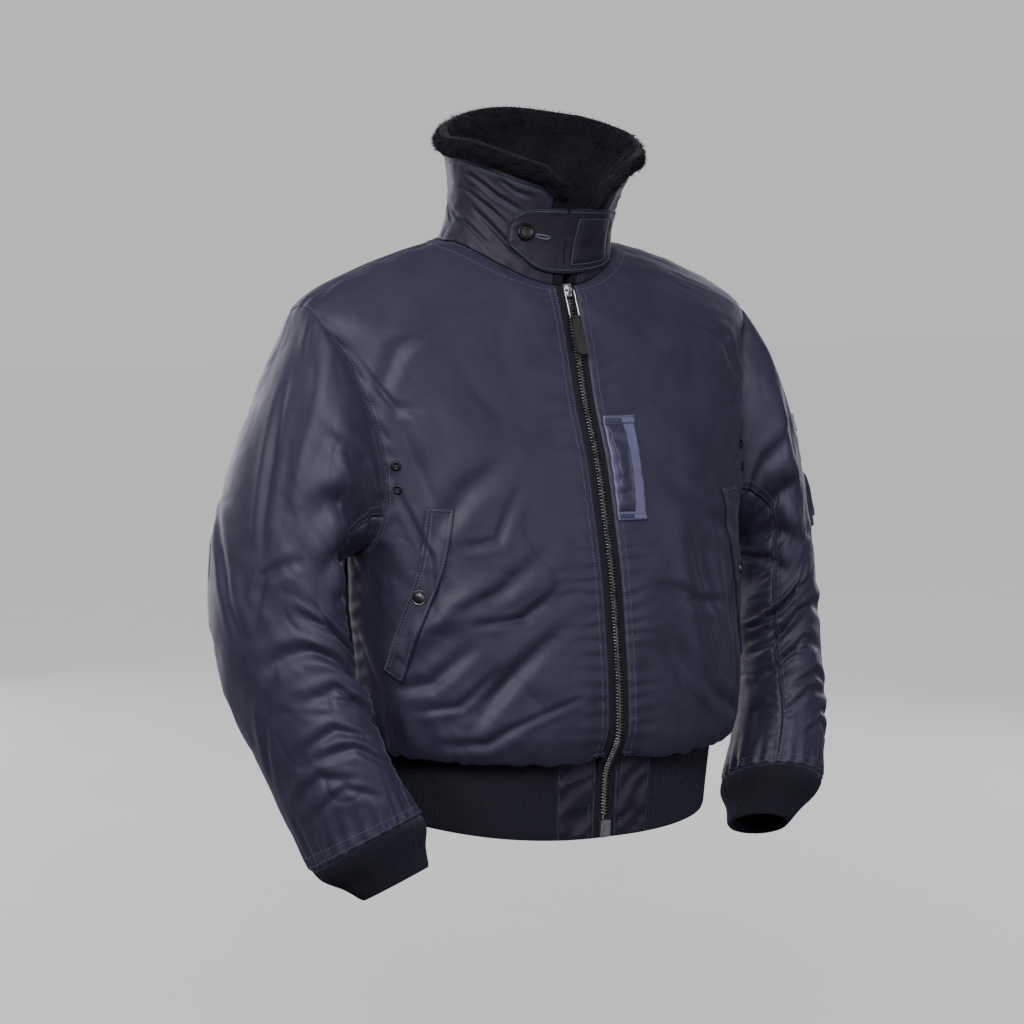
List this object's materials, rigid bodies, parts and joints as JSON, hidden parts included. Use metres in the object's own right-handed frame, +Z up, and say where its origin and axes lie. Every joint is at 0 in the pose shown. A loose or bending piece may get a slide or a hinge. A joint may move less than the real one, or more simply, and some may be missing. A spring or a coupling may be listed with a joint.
{
  "type": "flight jacket",
  "caption": "Zip-front nylon flight jacket worn open-hemmed and hollow, with a standing pile-lined collar, throat strap, slanted snap pockets, utility sleeve pocket, knit hem and cuffs.",
  "frame": {"origin": "the middle of the neck opening, level with the side neck points, where the jacket hangs on the wearer's neck and shoulders", "axes": "+Z up, -Y out of the jacket's front, +X towards the wearer's left; worn on a standing body with the arms hanging a little forward"},
  "size_m": [0.763, 0.3026, 0.8316],
  "materials": {
    "nylon": "satin woven nylon, dark purplish navy",
    "knit": "matt ribbed wool knit, dark navy",
    "pile": "matt deep pile, charcoal navy",
    "zip_tape": "matt woven tape",
    "ribbon": "satin ribbon, dusty lilac",
    "steel": "satin nickel",
    "dark_metal": "blackened metal, satin",
    "leather": "dark matt leather"
  },
  "bodies": {
    "jacket": {"front_right": "nylon", "front_left": "nylon", "back": "nylon", "sleeve_right_upper": "nylon", "sleeve_right_under": "nylon", "sleeve_left_upper": "nylon", "sleeve_left_under": "nylon", "cuff_right": "knit", "cuff_left": "knit", "hem_facing_right": "nylon", "hem_facing_left": "nylon", "hem_knit": "knit", "zip_tape_right": "zip_tape", "zip_tape_left": "zip_tape", "collar_shell": "nylon", "collar_pile": "pile", "throat_strap": "nylon", "throat_button": "dark_metal", "pocket_flap_right": "nylon", "pocket_snap_right": "dark_metal", "eyelet_right_1": "dark_metal", "eyelet_right_2": "dark_metal", "pocket_flap_left": "nylon", "pocket_snap_left": "dark_metal", "eyelet_left_1": "dark_metal", "eyelet_left_2": "dark_metal", "chest_patch": "ribbon", "chest_strap": "nylon", "sleeve_pocket": "nylon", "sleeve_pocket_zip": "zip_tape", "pen_pocket": "nylon", "zip_slider": "steel", "zip_box": "steel", "sleeve_zip_slider": "steel", "pen_tip": "steel"},
    "zip_pull": {"zip_pull_wire": "steel", "zip_pull_tab": "leather"},
    "sleeve_zip_pull": {"sleeve_zip_pull": "steel"}
  },
  "joints": [
    {"name": "zip_pull_swing", "type": "hinge", "parent": "jacket", "child": "zip_pull", "pos_m": [0, -0.08589, -0.05203], "axis": [-1, 0, 0], "range_deg": [0, 140]},
    {"name": "sleeve_zip_pull_swing", "type": "hinge", "parent": "jacket", "child": "sleeve_zip_pull", "pos_m": [0.33974, -0.05026, -0.20467], "axis": [-0.3357, -0.9386, -0.0793], "range_deg": [0, 120]}
  ]
}
